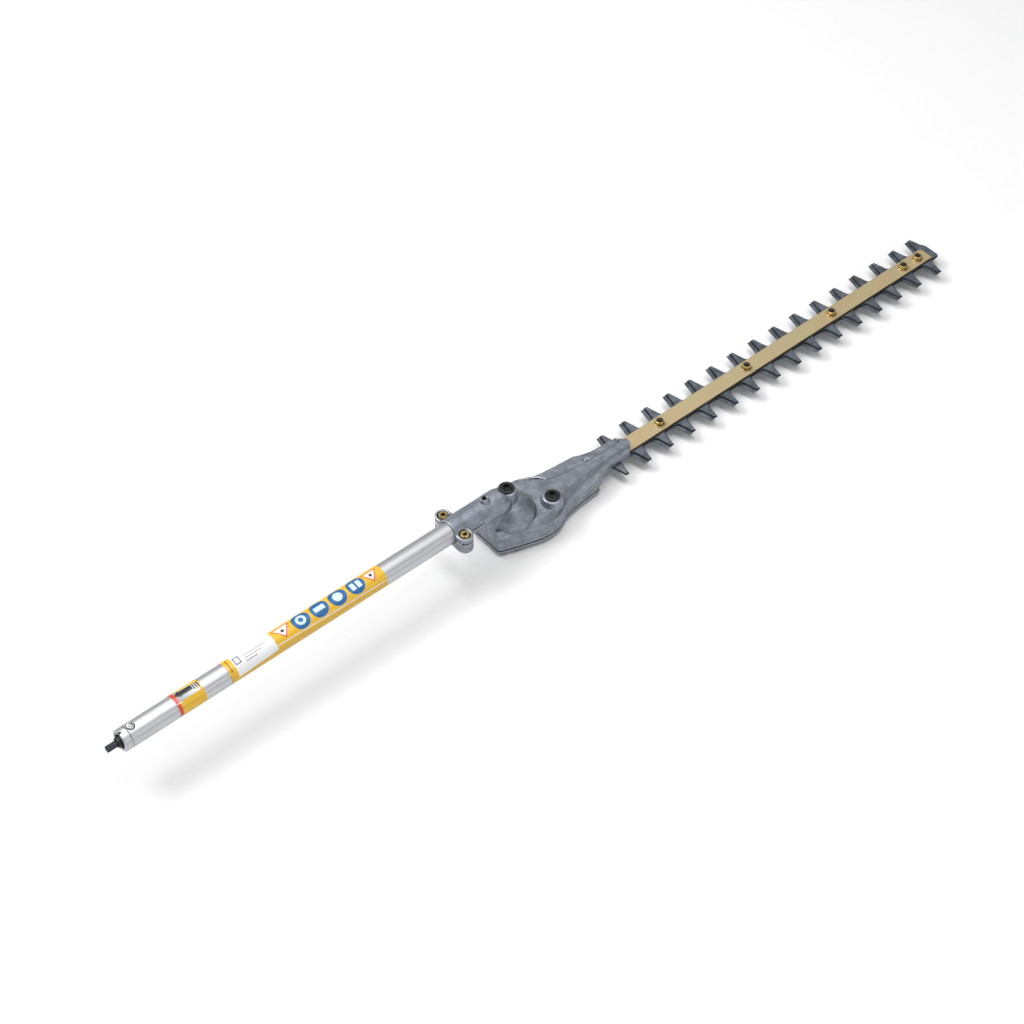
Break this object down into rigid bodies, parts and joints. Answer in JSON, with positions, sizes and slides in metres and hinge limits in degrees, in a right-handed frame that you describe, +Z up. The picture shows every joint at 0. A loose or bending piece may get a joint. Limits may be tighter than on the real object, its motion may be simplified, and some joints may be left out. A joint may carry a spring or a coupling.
{
  "type": "hedge trimmer attachment",
  "caption": "Straight-shaft hedge trimmer attachment with a drive tube, die-cast gear case, gold guide bar and two sliding double-sided toothed blades.",
  "frame": {"origin": "midway along and across the tool, on the surface that it lies on", "axes": "+X along the tool to the blade tip, +Y to its left, +Z up, square to the flat blade"},
  "size_m": [1.06, 0.0698, 0.0709],
  "materials": {
    "tube": "bright anodised, fine lengthwise grain",
    "casting": "as-cast die-cast aluminium, satin with fine grain",
    "cover": "as-cast die-cast aluminium",
    "gasket": "compressed fibre gasket",
    "blade": "ground and blued tool steel",
    "bar": "yellow passivated zinc plate",
    "gold_steel": "yellow passivated steel",
    "dark_steel": "black oxide steel",
    "bright_steel": "ground steel",
    "gear_steel": "hardened gear steel",
    "bronze": "sintered bronze",
    "black_plastic": "moulded nylon",
    "label": "printed film",
    "felt": "oiled felt strip"
  },
  "bodies": {
    "housing": {"gear_case": "casting", "tube_end_collar": "tube", "case_gasket": "gasket", "drive_tube": "tube", "case_cover": "cover", "tube_end_bush": "black_plastic", "guide_bar": "bar", "grease_plug_rear": "black_plastic", "grease_plug_front": "black_plastic", "lock_spring": "bright_steel", "clamp_bolt_left": "gold_steel", "clamp_bolt_right": "gold_steel", "shaft_bush_1": "black_plastic", "shaft_bush_2": "black_plastic", "shaft_bush_3": "black_plastic", "crank_bush_upper": "bright_steel", "gear_shaft_bearing": "bright_steel", "input_bearing": "bright_steel", "input_bush": "bronze", "bearing_clip": "dark_steel", "blade_bolt_1": "dark_steel", "blade_bolt_2": "dark_steel", "blade_bolt_3": "dark_steel", "blade_bolt_4": "dark_steel", "blade_bolt_5": "dark_steel", "locating_screw": "dark_steel", "arrow_label": "label", "band_label": "label", "blade_nut_1": "gold_steel", "blade_nut_2": "gold_steel", "blade_nut_3": "gold_steel", "blade_nut_4": "gold_steel", "blade_nut_5": "gold_steel", "cover_screw_1": "dark_steel", "cover_screw_2": "dark_steel", "cover_screw_3": "dark_steel", "cover_screw_4": "dark_steel", "cover_screw_5": "dark_steel", "cover_screw_6": "dark_steel", "crank_bush_lower": "bronze", "gear_shaft_bush": "bronze", "blade_bush_1": "bright_steel", "blade_bush_2": "bright_steel", "blade_bush_3": "bright_steel", "blade_bush_4": "bright_steel", "blade_bush_5": "bright_steel", "bar_screw_1": "bright_steel", "bar_screw_2": "bright_steel", "blade_felt": "felt"},
    "drive": {"drive_shaft": "dark_steel", "bevel_pinion": "gear_steel"},
    "gear_shaft": {"gear_shaft": "bright_steel", "bevel_gear": "gear_steel", "spur_pinion": "gear_steel"},
    "crank": {"crank_gear": "gear_steel", "crankshaft": "bright_steel"},
    "upper_blade": {"upper_blade": "blade"},
    "lower_blade": {"lower_blade": "blade"},
    "lock": {"lock_button": "bright_steel"}
  },
  "joints": [
    {"name": "crank_turn", "type": "hinge", "parent": "housing", "child": "crank", "pos_m": [-0.03525, 0, 0.0181], "axis": [0, 0, 1], "range_deg": [-114, 66]},
    {"name": "gear_shaft_turn", "type": "hinge", "parent": "housing", "child": "gear_shaft", "pos_m": [-0.069, 0, 0.0231], "axis": [0, 0, 1], "range_deg": [-204.5, 352.86]},
    {"name": "drive_shaft_turn", "type": "hinge", "parent": "housing", "child": "drive", "pos_m": [-0.322, 0, 0.0527], "axis": [1, 0, 0], "range_deg": [-470.32, 272.5]},
    {"name": "upper_blade_slide", "type": "slide", "parent": "housing", "child": "upper_blade", "axis": [1, 0, 0], "range_m": [-0.0095, 0.0055]},
    {"name": "lower_blade_slide", "type": "slide", "parent": "housing", "child": "lower_blade", "axis": [1, 0, 0], "range_m": [-0.0055, 0.0095]},
    {"name": "lock_button_press", "type": "slide", "parent": "housing", "child": "lock", "axis": [0, 0, -1], "range_m": [0, 0.0017], "stiffness_N_per_m": 800, "springref_m": -0.0015, "deforming": ["lock_spring"]}
  ],
  "couplings": [
    {"joint": "gear_shaft_turn", "follows": "crank_turn", "ratio": -3.0909},
    {"joint": "drive_shaft_turn", "follows": "crank_turn", "ratio": 4.1212},
    {"joint": "upper_blade_slide", "follows": "crank_turn", "m_per_rad": 0.0047746},
    {"joint": "lower_blade_slide", "follows": "crank_turn", "m_per_rad": -0.0047746}
  ]
}
